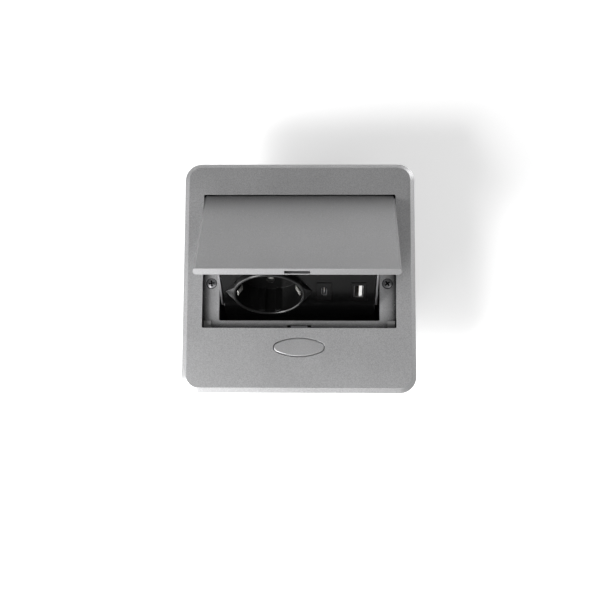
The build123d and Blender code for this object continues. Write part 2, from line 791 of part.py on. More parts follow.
# Latch bolt: a slide with a ramped window, a riser and the tongue that holds the lid
ramp_shift = bolt_gap * 2 ** 0.5
riser_front = button_y + button_depth / 2 + button_gap + button_travel + riser_gap
riser_rear = riser_front + riser_thick
bolt_front = wedge_top_y - bolt_lead
window_front_top = wedge_top_y + wedge_top_z - slide_top - ramp_shift
window_front_bottom = window_front_top + slide_thick
window_rear = foot_rear + bolt_gap + button_travel
with BuildPart() as latch_bolt:
    with BuildSketch(Plane.YZ):
        with BuildLine():
            Polyline(
                (bolt_front, slide_bottom),
                (riser_rear, slide_bottom),
                (riser_rear, bolt_z - bolt_thick / 2),
                (bolt_tip, bolt_z - bolt_thick / 2),
                (bolt_tip - bolt_bevel, bolt_z + bolt_thick / 2),
                (riser_front, bolt_z + bolt_thick / 2),
                (riser_front, slide_top),
                (bolt_front, slide_top),
                close=True,
            )
        make_face()
    extrude(amount=bolt_width / 2, both=True)
    with BuildSketch(Plane.YZ):
        with BuildLine():
            Polyline(
                (window_front_top, slide_top),
                (window_front_bottom, slide_bottom),
                (window_rear, slide_bottom),
                (window_rear, slide_top),
                close=True,
            )
        make_face()
    extrude(amount=foot_width / 2 + bolt_gap, both=True, mode=Mode.SUBTRACT)

# Latch housing in its seat under the plate, with wells for the springs
housing_rear = collar_front - riser_gap
well_bottom = -housing_depth + housing_wall
well_spots = [(-spring_spread, 0), (spring_spread, 0)]
arm_room = housing_width - 2 * housing_wall
with BuildPart() as latch_housing:
    with BuildSketch(Plane.XY.offset(housing_recess)):
        with Locations((0, (housing_front + housing_rear) / 2)):
            Rectangle(housing_width, housing_rear - housing_front)
    extrude(amount=-housing_depth - housing_recess)
    with BuildSketch(button_plane(housing_recess)):
        Rectangle(housing_width + 2 * housing_ear_reach, housing_ear_depth)
    extrude(amount=-housing_ear_thick - housing_recess)
    with BuildSketch(button_plane(housing_recess)):
        Rectangle(button_width + 4 * button_gap, button_depth + 4 * button_gap)
        Rectangle(arm_room, stem_depth + 2 * slide_gap)
    extrude(amount=slide_top - housing_recess, mode=Mode.SUBTRACT)
    with BuildSketch(button_plane(slide_top)):
        with Locations(*well_spots):
            Circle(button_spring_radius + bolt_gap)
    extrude(amount=well_bottom - slide_top, mode=Mode.SUBTRACT)
    with BuildSketch(Plane.XY.offset(housing_recess)):
        with Locations((0, housing_front + housing_wall)):
            Rectangle(
                bolt_width + 2 * bolt_gap, housing_rear - housing_front, align=(Align.CENTER, Align.MIN)
            )
    extrude(amount=slide_bottom - bolt_gap - housing_recess, mode=Mode.SUBTRACT)
    with BuildSketch(Plane.XY.offset(slide_bottom)):
        with Locations((0, wedge_top_y - bolt_gap)):
            Rectangle(
                foot_width + 2 * bolt_gap,
                foot_rear - wedge_top_y + 2 * bolt_gap,
                align=(Align.CENTER, Align.MIN),
            )
    extrude(amount=well_bottom - slide_bottom, mode=Mode.SUBTRACT)

with BuildPart() as button_springs:
    with BuildSketch(button_plane(well_bottom)):
        with Locations(*well_spots):
            Circle(button_spring_radius)
    extrude(amount=-arm_top - arm_thick - well_bottom)

with BuildPart() as latch_spring:
    with BuildSketch(Plane.XZ.offset(-bolt_front)):
        with Locations((0, (slide_top + slide_bottom) / 2)):
            Circle(latch_spring_radius)
    extrude(amount=bolt_front - housing_front - housing_wall)

# Clamp screws through the ledge, and the dogs that they draw up under the desk
screw_seat = ledge_top - clamp_head_sunk
clamp_screw_parts = {}
for name, spot in zip(("clamp_screw_left", "clamp_screw_right"), clamp_spots):
    with BuildPart() as clamp_screw:
        with BuildSketch(Plane.XY.offset(screw_seat)):
            with Locations(spot):
                Circle(clamp_head_radius)
        extrude(amount=clamp_head_height)
        with BuildSketch(Plane.XY.offset(screw_seat)):
            with Locations(spot):
                Circle(clamp_screw_radius)
        extrude(amount=-clamp_screw_length)
        with BuildSketch(Plane.XY.offset(screw_seat + clamp_head_height)):
            with Locations(spot):
                Rectangle(cross_length, cross_width)
                Rectangle(cross_width, cross_length)
        extrude(amount=-cross_depth, mode=Mode.SUBTRACT)
    clamp_screw_parts[name] = clamp_screw

dog_inner = box_width / 2 + clamp_side_gap
with BuildPart() as clamp_right:
    with BuildSketch(Plane.XZ.offset(-clamp_y)):
        with BuildLine():
            Polyline(
                (dog_inner, -desk_thick - clamp_step),
                (dog_inner, -desk_thick - clamp_height),
                (clamp_x + clamp_root, -desk_thick - clamp_height),
                (clamp_x + clamp_arm, -desk_thick - clamp_tip),
                (clamp_x + clamp_arm, -desk_thick),
                (clamp_x + clamp_step_out, -desk_thick),
                (clamp_x + clamp_step_in, -desk_thick - clamp_step),
                close=True,
            )
        make_face()
    extrude(amount=clamp_width / 2, both=True)
    with BuildSketch(Plane.XY.offset(-desk_thick - clamp_height)):
        with Locations((clamp_x, clamp_y)):
            Circle(clamp_screw_radius + clamp_running)
    extrude(amount=clamp_height, mode=Mode.SUBTRACT)

with BuildPart() as clamp_left:
    add(mirror(clamp_right.part, about=Plane.YZ))

# Bottom box, with ears under the ledge, guide ribs for the dogs and lugs for the spring rod
box_depth = box_rear - box_front
box_mid = (box_front + box_rear) / 2
ear_end = opening_width / 2 - ear_edge_gap
lug_reach = box_rear - box_wall / 2 - rod_y
rib_offset = clamp_width / 2 + rib_gap + rib_thick / 2
rib_x = box_width / 2 + rib_reach / 2
rib_spots = [(side * rib_x, clamp_y + end * rib_offset) for side in (-1, 1) for end in (-1, 1)]
with BuildPart() as bottom_box:
    with BuildSketch(Plane.XY.offset(box_bottom)):
        with Locations((0, box_mid)):
            RectangleRounded(box_width, box_depth, box_corner)
    extrude(amount=ledge_bottom - box_bottom)
    chamfer(bottom_box.faces().sort_by(Axis.Z)[0].edges(), length=box_chamfer)
    with BuildSketch(Plane.XY.offset(ledge_bottom)):
        with Locations((0, ear_front_y), (0, ear_rear_y)):
            Rectangle(2 * ear_end, ear_depth)
        with Locations((0, box_mid)):
            Rectangle(
                slot_width + 2 * lip_side,
                box_mid - opening_front - ear_edge_gap,
                align=(Align.CENTER, Align.MAX),
            )
    extrude(amount=-ear_thick)
    with BuildSketch(Plane.XY.offset(rib_top)):
        with Locations(*rib_spots):
            Rectangle(rib_reach, rib_thick)
    extrude(amount=-rib_length)
    with BuildSketch(Plane.XY.offset(box_bottom + box_wall)):
        with Locations((0, box_mid)):
            RectangleRounded(box_width - 2 * box_wall, box_depth - 2 * box_wall, box_corner - box_wall)
    extrude(amount=ledge_bottom - box_bottom, mode=Mode.SUBTRACT)
    for x in (-lug_x, lug_x):
        with BuildSketch(Plane.YZ.offset(x)):
            with Locations((rod_y, rod_z)):
                Rectangle(lug_reach, 2 * lug_radius, align=(Align.MIN, Align.CENTER))
                Circle(lug_radius)
        extrude(amount=lug_thick / 2, both=True)
    with BuildSketch(Plane.YZ):
        with Locations((rod_y, rod_z)):
            Circle(rod_radius + pin_fit)
    extrude(amount=lug_x + lug_thick, both=True, mode=Mode.SUBTRACT)
    with BuildSketch(Plane.XZ.offset(-box_rear)):
        with Locations((grommet_x, grommet_z)):
            Circle(grommet_radius)
    extrude(amount=box_wall, mode=Mode.SUBTRACT)

with BuildPart() as spring_rod:
    with BuildSketch(Plane.YZ):
        with Locations((rod_y, rod_z)):
            Circle(rod_radius)
    extrude(amount=lug_x + rod_end, both=True)

# Lid springs: coils on the rod, one leg on the box wall and one behind the module
leg_target = swung(Plane.XY).from_local_coords(
    Vector(0, cover_rear + spring_contact_gap + spring_wire, -spring_contact)
)
leg_x = spring_length / 2 - spring_wire - pin_fit
leg_radius = spring_outer - spring_wire
spring_parts = {}
for name, side in (("lid_spring_left", -1), ("lid_spring_right", 1)):
    coil_x = side * (lug_x - spring_inset)
    with BuildPart() as lid_spring:
        with BuildSketch(Plane.YZ.offset(coil_x)):
            with Locations((rod_y, rod_z)):
                Circle(spring_outer)
                Circle(rod_radius + spring_bore_gap, mode=Mode.SUBTRACT)
        extrude(amount=spring_length / 2, both=True)
        with BuildLine():
            back_leg = Line(
                (coil_x + side * leg_x, rod_y + leg_radius, rod_z),
                (coil_x + side * leg_x, box_rear - box_wall - spring_wire, rod_z + back_leg_rise),
            )
        with BuildSketch(Plane(back_leg @ 0, z_dir=back_leg % 0)):
            Rectangle(2 * spring_wire, 2 * spring_wire)
        sweep(path=back_leg)
        with BuildLine():
            push_leg = Line(
                (coil_x - side * leg_x, rod_y, rod_z - leg_radius),
                (coil_x - side * leg_x, leg_target.Y, leg_target.Z),
            )
        with BuildSketch(Plane(push_leg @ 0, z_dir=push_leg % 0)):
            Rectangle(2 * spring_wire, 2 * spring_wire)
        sweep(path=push_leg)
    spring_parts[name] = lid_spring

# Grommet in the rear wall, where the supply cable goes in: a turned section with a flange and a barb
with BuildPart() as cable_grommet:
    with BuildSketch(Plane.XY.offset(grommet_z)) as grommet_half:
        with BuildLine():
            Polyline(
                (grommet_x + cable_radius, box_rear + grommet_flange_thick),
                (grommet_x + grommet_radius + grommet_flange, box_rear + grommet_flange_thick),
                (grommet_x + grommet_radius + grommet_flange, box_rear),
                (grommet_x + grommet_radius - pin_fit, box_rear),
                (grommet_x + grommet_radius - pin_fit, box_rear - box_wall),
                (grommet_x + grommet_radius + grommet_barb, box_rear - box_wall),
                (grommet_x + grommet_radius + grommet_barb, box_rear - box_wall - grommet_barb_thick),
                (grommet_x + cable_radius, box_rear - box_wall - grommet_barb_thick),
                close=True,
            )
        make_face()
    revolve(axis=Axis((grommet_x, 0, grommet_z), (0, 1, 0)))

pieces = {
    "cover_plate": cover_plate,
    "hinge_pin_left": hinge_pin_left,
    "hinge_pin_right": hinge_pin_right,
    "lid": lid,
    "cradle": cradle,
    "socket_panel": socket_panel,
    "socket_insert": socket_insert,
    "contact_block": contact_block,
    "shutter": shutter,
    "shutter_spring": shutter_spring,
    "earth_bracket": earth_bracket,
    "usb_c_bezel": usb_c_bezel,
    "usb_a_bezel": usb_a_bezel,
    "usb_c_shell": usb_c_shell,
    "usb_a_shell": usb_a_shell,
    "usb_c_tongue": usb_c_tongue,
    "usb_a_tongue": usb_a_tongue,
    "usb_board": usb_board,
    "usb_converter": usb_converter,
    "module_cover": module_cover,
    "lead_bushing": lead_bushing,
    "terminal_block": terminal_block,
    "release_button": release_button,
    "latch_bolt": latch_bolt,
    "latch_housing": latch_housing,
    "button_springs": button_springs,
    "latch_spring": latch_spring,
    "clamp_left": clamp_left,
    "clamp_right": clamp_right,
    "bottom_box": bottom_box,
    "spring_rod": spring_rod,
    "cable_grommet": cable_grommet,
}
pieces.update(pad_parts)
pieces.update(contact_parts)
pieces.update(clamp_screw_parts)
pieces.update(spring_parts)

for name, piece in pieces.items():
    piece.part.label = name
    export_step(piece.part, f"parts/{name}.step")
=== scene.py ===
import math

import bpy
from mathutils import Matrix, Vector


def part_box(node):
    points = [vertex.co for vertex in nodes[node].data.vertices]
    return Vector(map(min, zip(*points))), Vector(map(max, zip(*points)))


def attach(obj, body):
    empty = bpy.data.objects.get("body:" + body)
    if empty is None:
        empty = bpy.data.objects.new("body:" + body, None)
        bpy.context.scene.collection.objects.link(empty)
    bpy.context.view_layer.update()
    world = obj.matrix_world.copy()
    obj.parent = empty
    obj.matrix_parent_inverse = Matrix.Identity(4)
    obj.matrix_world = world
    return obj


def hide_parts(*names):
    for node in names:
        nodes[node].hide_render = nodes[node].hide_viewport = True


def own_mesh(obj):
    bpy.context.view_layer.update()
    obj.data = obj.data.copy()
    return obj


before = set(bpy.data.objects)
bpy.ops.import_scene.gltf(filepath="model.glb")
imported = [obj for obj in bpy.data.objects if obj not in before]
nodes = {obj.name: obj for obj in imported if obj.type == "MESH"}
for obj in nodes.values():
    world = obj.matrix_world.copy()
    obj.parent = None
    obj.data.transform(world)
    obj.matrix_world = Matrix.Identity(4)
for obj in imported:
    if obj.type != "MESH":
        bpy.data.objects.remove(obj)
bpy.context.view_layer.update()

mm = 0.001


def toLinear(hexColour):  # sRGB hex to the linear value that shaders take
    parts = [int(hexColour[i:i + 2], 16) / 255 for i in (1, 3, 5)]
    return tuple(c / 12.92 if c <= 0.04045 else ((c + 0.055) / 1.055) ** 2.4 for c in parts) + (1.0,)


def addNode(tree, kind, inputs=None, **settings):  # an input takes a value, a node, an output, or a list of those
    node = tree.nodes.new(kind)
    for name, value in settings.items():
        setattr(node, name, value)
    for name, value in (inputs or {}).items():
        for source in value if isinstance(value, list) else [value]:
            if isinstance(source, bpy.types.Node):
                source = source.outputs[0]
            if isinstance(source, bpy.types.NodeSocket):
                tree.links.new(source, node.inputs[name])
            else:
                node.inputs[name].default_value = source
    return node


def newMaterial(name):
    material = bpy.data.materials.new(name)
    material.use_nodes = True
    material.node_tree.nodes.clear()
    return material, material.node_tree


def objectPattern(tree, sizeMm, detail, stretch=(1, 1, 1)):  # noise in object space at the feature's real size
    place = addNode(tree, "ShaderNodeTexCoord").outputs["Object"]
    stretched = addNode(tree, "ShaderNodeMapping", {"Vector": place, "Scale": stretch})
    return addNode(tree, "ShaderNodeTexNoise", {"Vector": stretched, "Scale": 1 / (sizeMm * mm), "Detail": detail})


def reliefNormal(tree, pattern, depthMm, edgeMm):  # fine relief over an edge rounded by the process
    edge = addNode(tree, "ShaderNodeBevel", {"Radius": edgeMm * mm}, samples=6)
    return addNode(tree, "ShaderNodeBump", {"Height": pattern, "Strength": 1.0, "Distance": depthMm * mm,
                                            "Normal": edge})


def paintedCornerShade(tree, base, reachMm, limits, colour, onlyLocal):  # painted shade: ambient occlusion blends the colour in where the surface closes in
    openness = addNode(tree, "ShaderNodeAmbientOcclusion", {"Distance": reachMm * mm}, samples=8,
                       only_local=onlyLocal)
    share = addNode(tree, "ShaderNodeMapRange", {"Value": openness.outputs["AO"], "From Min": limits[0],
                                                 "From Max": limits[1]})
    return addNode(tree, "ShaderNodeMix", {"Factor": share, 6: toLinear(colour), 7: base.outputs[2]},
                   data_type="RGBA")


# What each finish is, and how it was made, is read from the photo or is what such parts usually have.
# Anodised aluminium, bead blasted first: the beads leave an even dimpled skin of about 0.1 mm, drawn here at
# 0.4 mm so that it shows, which breaks each reflection into a broad glow with a few brighter grains
def makeSatinMetal(name, finish):
    material, tree = newMaterial(name)
    grain = objectPattern(tree, finish["grainMm"], 3.0)
    low, high = finish["grainLimits"]
    tone = addNode(tree, "ShaderNodeMapRange", {"Value": grain, "From Min": low, "From Max": high})
    low, high = finish["speckLimits"]
    bright = addNode(tree, "ShaderNodeMapRange", {"Value": objectPattern(tree, finish["speckMm"], 1.0),
                                                  "From Min": low, "From Max": high, "To Max": finish["speckShare"]})
    cloud = objectPattern(tree, finish["cloudMm"], 2.0)
    rough = addNode(tree, "ShaderNodeMapRange", {"Value": cloud, "To Min": finish["low"], "To Max": finish["high"]})
    base = addNode(tree, "ShaderNodeMix", {"Factor": tone, 6: toLinear(finish["dark"]),
                                           7: toLinear(finish["light"])}, data_type="RGBA")
    # Painted shade: inner corners are darkened in the base colour, to draw the shade on the ledge
    base = paintedCornerShade(tree, base, finish["cornerMm"], finish["cornerLimits"], finish["corner"], True)
    base = addNode(tree, "ShaderNodeMix", {"Factor": bright, 6: base.outputs[2], 7: toLinear(finish["speck"])},
                   data_type="RGBA")
    # Painted shade: sides that face along x can be darkened in the base colour, as the lid's are, which else show as
    # bright lines
    facing = addNode(tree, "ShaderNodeSeparateXYZ", {0: addNode(tree, "ShaderNodeTexCoord").outputs["Normal"]})
    sideways = addNode(tree, "ShaderNodeMath", {0: facing.outputs["X"]}, operation="ABSOLUTE")
    low, high = finish["sideShadeLimits"]
    side = addNode(tree, "ShaderNodeMapRange", {"Value": sideways, "From Min": low, "From Max": high,
                                                "To Max": finish["sideShadeShare"]})
    base = addNode(tree, "ShaderNodeMix", {"Factor": side, 6: base.outputs[2], 7: toLinear(finish["side"])},
                   data_type="RGBA")
    normal = reliefNormal(tree, grain, finish["depthMm"], finish["edgeMm"])
    shader = addNode(tree, "ShaderNodeBsdfPrincipled", {"Base Color": base.outputs[2], "Metallic": 1.0,
                                                        "Roughness": rough, "Normal": normal})
    addNode(tree, "ShaderNodeOutputMaterial", {"Surface": shader})
    return material


# Moulded plastic and rubber: the colour goes right through, and the skin takes the finish of the tool
def makeMoulded(name, finish):
    material, tree = newMaterial(name)
    grain = objectPattern(tree, finish["grainMm"], 2.0)
    cloud = objectPattern(tree, finish["cloudMm"], 3.0)
    rough = addNode(tree, "ShaderNodeMapRange", {"Value": cloud, "To Min": finish["low"], "To Max": finish["high"]})
    base = addNode(tree, "ShaderNodeMix", {"Factor": cloud, 6: toLinear(finish["dark"]),
                                           7: toLinear(finish["light"])}, data_type="RGBA")
    normal = reliefNormal(tree, grain, finish["depthMm"], finish["edgeMm"])
    shader = addNode(tree, "ShaderNodeBsdfPrincipled", {"Base Color": base.outputs[2], "Roughness": rough,
                                                        "IOR": finish["ior"], "Normal": normal})
    addNode(tree, "ShaderNodeOutputMaterial", {"Surface": shader})
    return material


# Rolled, drawn, turned and stamped metal: fine marks along the way that it was worked
def makeWorkedMetal(name, finish):
    material, tree = newMaterial(name)
    lines = objectPattern(tree, finish["lineMm"], 4.0, finish["stretch"])
    cloud = objectPattern(tree, finish["cloudMm"], 2.0)
    rough = addNode(tree, "ShaderNodeMapRange", {"Value": cloud, "To Min": finish["low"], "To Max": finish["high"]})
    base = addNode(tree, "ShaderNodeMix", {"Factor": lines, 6: toLinear(finish["dark"]),
                                           7: toLinear(finish["light"])}, data_type="RGBA")
    if "recessMm" in finish:  # painted shade: a cross this small hardly shows by itself, so ambient occlusion darkens the colour in the recess
        base = paintedCornerShade(tree, base, finish["recessMm"], finish["recessLimits"], finish["recess"], False)
    normal = reliefNormal(tree, lines, finish["depthMm"], finish["edgeMm"])
    shader = addNode(tree, "ShaderNodeBsdfPrincipled", {"Base Color": base.outputs[2], "Metallic": 1.0,
                                                        "Roughness": rough, "Normal": normal})
    addNode(tree, "ShaderNodeOutputMaterial", {"Surface": shader})
    return material


# corner is the colour of the painted shade in inner corners, and side that of the painted shade on sides that face
# along x
satin = {"grainMm": 0.4, "grainLimits": (0.36, 0.64), "speckMm": 0.7, "speckLimits": (0.7, 0.8),
         "speckShare": 0.35, "speck": "#ffffff", "cloudMm": 26, "low": 0.44, "high": 0.52, "depthMm": 0.012,
         "edgeMm": 0.3, "cornerMm": 12.0, "cornerLimits": (0.5, 0.97), "side": "#8c8c8d", "sideShadeLimits": (0.1, 0.3),
         "sideShadeShare": 0.0}
# Plate: cast aluminium, blasted all over, so the ledge inside the opening has the same skin; its dark corner colour
# is painted shade
plateMetal = makeSatinMetal("blastedPlate", satin | {"dark": "#c4c4c5", "light": "#dededf", "corner": "#363637"})
# Lid: a flat aluminium plate, one tone darker than the casting, with nearly sharp edges and painted shade on its
# sides
lidMetal = makeSatinMetal("blastedLid", satin | {"dark": "#acacad", "light": "#bebebf", "corner": "#acacad",
                                                 "edgeMm": 0.08, "sideShadeShare": 1.0})
# Button: as the plate, slightly lighter, with a rim that is rounded enough to draw the photo's bright line
# The button's corner colour is a faint painted shade in its inner corners
buttonMetal = makeSatinMetal("blastedButton", satin | {"dark": "#cdcdce", "light": "#e0e0e1", "corner": "#b8b8b9",
                                                       "low": 0.42, "high": 0.48, "edgeMm": 0.7})

# Socket panel: ABS from a polished tool, deep black with a soft mirror of the lid above it. Its IOR, and those of
# bezels and insert, are below the plastics' own, for the blacks of the photo
panelPlastic = makeMoulded("polishedAbs", {"dark": "#040404", "light": "#060606", "low": 0.2, "high": 0.25,
                                           "grainMm": 5.0, "cloudMm": 18, "depthMm": 0.004, "edgeMm": 0.25,
                                           "ior": 1.3})
# Bezels: ABS from a lightly eroded tool, blacker than the panel, with a thin light line where an edge turns
bezelPlastic = makeMoulded("sparkedAbs", {"dark": "#020202", "light": "#040404", "low": 0.26, "high": 0.34,
                                          "grainMm": 0.5, "cloudMm": 6, "depthMm": 0.008, "edgeMm": 0.12,
                                          "ior": 1.32})
# Socket insert: urea thermoset, dense and hard, a clean satin that catches a line of light round the rim
socketPlastic = makeMoulded("ureaThermoset", {"dark": "#0a0a0a", "light": "#111111", "low": 0.26, "high": 0.34,
                                              "grainMm": 0.5, "cloudMm": 12, "depthMm": 0.006, "edgeMm": 0.35,
                                              "ior": 1.43})
# Inner mouldings: glass-filled polyamide, flat dark grey with a coarse, dry skin
innerPlastic = makeMoulded("filledPolyamide", {"dark": "#1b1b1b", "light": "#282828", "low": 0.45, "high": 0.6,
                                               "grainMm": 0.4, "cloudMm": 10, "depthMm": 0.02, "edgeMm": 0.3,
                                               "ior": 1.53})
# Shutter: acetal, pale grey and slightly waxy, which shows as a light crescent in the pin holes
shutterPlastic = makeMoulded("paleAcetal", {"dark": "#a6a6a3", "light": "#b4b4b1", "low": 0.3, "high": 0.4,
                                            "grainMm": 0.4, "cloudMm": 8, "depthMm": 0.006, "edgeMm": 0.2,
                                            "ior": 1.48})
# Port tongues: liquid-crystal polymer, fine and even, white in one port and grey in the other
whiteTongue = makeMoulded("whitePolymer", {"dark": "#cececc", "light": "#dadad8", "low": 0.3, "high": 0.4,
                                           "grainMm": 0.3, "cloudMm": 4, "depthMm": 0.004, "edgeMm": 0.08,
                                           "ior": 1.6})
greyTongue = makeMoulded("greyPolymer", {"dark": "#6c6c6c", "light": "#7c7c7c", "low": 0.35, "high": 0.45,
                                         "grainMm": 0.3, "cloudMm": 4, "depthMm": 0.004, "edgeMm": 0.08, "ior": 1.6})
# Board: glass-epoxy under a green mask, varnish-like over a faint grain
boardMask = makeMoulded("solderMask", {"dark": "#0d4426", "light": "#145e38", "low": 0.22, "high": 0.32,
                                       "grainMm": 1.1, "cloudMm": 9, "depthMm": 0.008, "edgeMm": 0.1, "ior": 1.5})
# Box and latch housing: ABS from an etched tool, whose leather-like grain breaks light into small soft dots
boxPlastic = makeMoulded("grainedAbs", {"dark": "#1a1a1b", "light": "#252526", "low": 0.46, "high": 0.6,
                                        "grainMm": 0.7, "cloudMm": 22, "depthMm": 0.05, "edgeMm": 0.4, "ior": 1.52})
# Lid pads: grey rubber, die cut, no shine and a little darker than the ledge that they lie on
padRubber = makeMoulded("greyRubber", {"dark": "#727272", "light": "#848484", "low": 0.6, "high": 0.75,
                                       "grainMm": 0.3, "cloudMm": 3, "depthMm": 0.01, "edgeMm": 0.3, "ior": 1.5})
# Bushing and grommet: moulded rubber, dull black with a bloom that lifts it towards grey
blackRubber = makeMoulded("mouldedRubber", {"dark": "#131313", "light": "#232323", "low": 0.6, "high": 0.78,
                                            "grainMm": 0.3, "cloudMm": 5, "depthMm": 0.012, "edgeMm": 0.35,
                                            "ior": 1.5})

# Cradle and shell of the wide port: cold-rolled steel, plated, with straight roll lines and a streaked highlight
sheetSteel = makeWorkedMetal("platedSheet", {"dark": "#9c9c9e", "light": "#bcbcbd", "low": 0.26, "high": 0.4,
                                             "lineMm": 0.25, "stretch": (1, 0.08, 1), "cloudMm": 9,
                                             "depthMm": 0.003, "edgeMm": 0.12})
# Shell of the small port: drawn stainless steel with a nickel coat, which outlines the slot in light grey
shellSteel = makeWorkedMetal("nickelShell", {"dark": "#a4a4a6", "light": "#b8b8ba", "low": 0.3, "high": 0.4,
                                             "lineMm": 0.2, "stretch": (1, 0.1, 1), "cloudMm": 3,
                                             "depthMm": 0.002, "edgeMm": 0.06})
# Latch bolt: pressed steel, tumbled after pressing, duller than the sheet
latchSteel = makeWorkedMetal("tumbledSteel", {"dark": "#808082", "light": "#979799", "low": 0.34, "high": 0.46,
                                              "lineMm": 0.3, "stretch": (1, 1, 1), "cloudMm": 4,
                                              "depthMm": 0.006, "edgeMm": 0.12})
# Pins and rod: ground bright bar, with a tight highlight along its length
groundSteel = makeWorkedMetal("groundBar", {"dark": "#a9a9ac", "light": "#c2c2c4", "low": 0.16, "high": 0.26,
                                            "lineMm": 0.2, "stretch": (0.1, 1, 1), "cloudMm": 6,
                                            "depthMm": 0.002, "edgeMm": 0.1})
# Springs: drawn wire with a trace of oil, bright on top and dark between the turns
springSteel = makeWorkedMetal("springWire", {"dark": "#8a8a8d", "light": "#b0b0b2", "low": 0.2, "high": 0.3,
                                             "lineMm": 0.3, "stretch": (1, 1, 1), "cloudMm": 3,
                                             "depthMm": 0.002, "edgeMm": 0.05})
# Earth clips: nickel-plated bronze strip, tumbled, pale, so that the bends show in the dark well
clipMetal = makeWorkedMetal("platedBronze", {"dark": "#e2e0da", "light": "#f6f5f0", "low": 0.42, "high": 0.5,
                                             "lineMm": 0.25, "stretch": (1, 1, 1), "cloudMm": 3,
                                             "depthMm": 0.002, "edgeMm": 0.2})
# Painted shade in the cross of a screw head: the recess colour comes in by ambient occlusion
paintedRecessShade = {"recess": "#141414", "recessLimits": (0.55, 0.9)}
# Small screws: zinc-plated steel, cold headed, with a faintly mottled blue-white shine and painted shade in the
# cross
zincScrew = makeWorkedMetal("zincPlated", paintedRecessShade | {"dark": "#acacb0", "light": "#cacacd", "low": 0.22,
                                                        "high": 0.35, "lineMm": 0.3, "stretch": (1, 1, 1),
                                                        "cloudMm": 2, "depthMm": 0.003, "edgeMm": 0.08,
                                                        "recessMm": 1.2})
# Clamp screws: steel with a worn black coat, drawn mid-grey and dull as the right head shows, with painted shade in
# the cross
blackScrew = makeWorkedMetal("blackNickel", paintedRecessShade | {"dark": "#8a8a8c", "light": "#a4a4a6", "low": 0.4,
                                                          "high": 0.48, "lineMm": 0.3, "stretch": (1, 1, 1),
                                                          "cloudMm": 2, "depthMm": 0.003, "edgeMm": 0.1,
                                                          "recessMm": 1.6})
# Contacts: stamped brass strip, warm yellow with drawn lines along the strip
contactBrass = makeWorkedMetal("stampedBrass", {"dark": "#b08a45", "light": "#d2ad60", "low": 0.2, "high": 0.32,
                                                "lineMm": 0.3, "stretch": (1, 1, 0.2), "cloudMm": 4,
                                                "depthMm": 0.003, "edgeMm": 0.1})
# Port contacts: a thin gold flash over nickel, a warm yellow in the dark ports
goldFlash = makeWorkedMetal("goldFlash", {"dark": "#a88438", "light": "#c29c50", "low": 0.3, "high": 0.4,
                                          "lineMm": 0.3, "stretch": (1, 1, 1), "cloudMm": 2,
                                          "depthMm": 0.001, "edgeMm": 0.03})
# Clamp dogs: zinc casting, tumbled and thinly plated, mottled grey with softened edges
clampZinc = makeWorkedMetal("tumbledZinc", {"dark": "#727275", "light": "#939396", "low": 0.38, "high": 0.55,
                                            "lineMm": 0.6, "stretch": (1, 1, 1), "cloudMm": 5,
                                            "depthMm": 0.02, "edgeMm": 0.3})

nodeMaterials = {
    plateMetal: ["cover_plate"],
    lidMetal: ["lid"],
    buttonMetal: ["release_button"],
    panelPlastic: ["socket_panel"],
    bezelPlastic: ["usb_c_bezel", "usb_a_bezel"],
    socketPlastic: ["socket_insert"],
    innerPlastic: ["contact_block", "module_cover", "terminal_block", "usb_converter"],
    shutterPlastic: ["shutter"],
    whiteTongue: ["usb_a_tongue"],
    greyTongue: ["usb_c_tongue"],
    boardMask: ["usb_board"],
    boxPlastic: ["bottom_box", "latch_housing"],
    padRubber: ["lid_pad_left", "lid_pad_right"],
    blackRubber: ["lead_bushing", "cable_grommet"],
    sheetSteel: ["cradle", "usb_a_shell"],
    shellSteel: ["usb_c_shell"],
    latchSteel: ["latch_bolt"],
    groundSteel: ["hinge_pin_left", "hinge_pin_right", "spring_rod"],
    clipMetal: ["earth_bracket"],
    contactBrass: ["contact_upper", "contact_lower"],
    clampZinc: ["clamp_left", "clamp_right"],
}
for material, names in nodeMaterials.items():
    for name in names:
        slots = nodes[name].material_slots
        if not slots:
            nodes[name].data.materials.append(material)
        for slot in slots:
            slot.material = material
print("materials on", sum(len(names) for names in nodeMaterials.values()), "nodes")


# Geometry Nodes: each tree takes points or a path with named sizes and returns finished meshes
def newTree(name, inputs):
    tree = bpy.data.node_groups.new(name, "GeometryNodeTree")
    tree.interface.new_socket("Geometry", in_out="INPUT", socket_type="NodeSocketGeometry")
    for label, value in inputs.items():
        kind = "NodeSocketVector" if isinstance(value, tuple) else "NodeSocketFloat"
        tree.interface.new_socket(label, in_out="INPUT", socket_type=kind).default_value = value
    tree.interface.new_socket("Finish", in_out="INPUT", socket_type="NodeSocketMaterial")
    tree.interface.new_socket("Geometry", in_out="OUTPUT", socket_type="NodeSocketGeometry")
    return tree, addNode(tree, "NodeGroupInput").outputs


def endTree(tree, geometry, given):
    whole = addNode(tree, "GeometryNodeRealizeInstances", {"Geometry": geometry})
    done = addNode(tree, "GeometryNodeSetMaterial", {"Geometry": whole, "Material": given["Finish"]})
    addNode(tree, "NodeGroupOutput", {"Geometry": done})


def growPiece(name, tree, points, edges, sizes, material):  # points in metres; sizes by the tree's input names
    mesh = bpy.data.meshes.new(name)
    mesh.from_pydata(points, edges, [])
    piece = bpy.data.objects.new(name, mesh)
    bpy.context.scene.collection.objects.link(piece)
    grow = piece.modifiers.new("grow", "NODES")
    grow.node_group = tree
    for item in tree.interface.items_tree:
        if item.in_out == "INPUT" and item.name in sizes:
            grow[item.identifier] = sizes[item.name]
        if item.in_out == "INPUT" and item.name == "Finish":
            grow[item.identifier] = material
    view = bpy.context.evaluated_depsgraph_get()
    made = bpy.data.meshes.new_from_object(piece.evaluated_get(view), depsgraph=view)
    piece.modifiers.clear()
    piece.data = made
    return piece


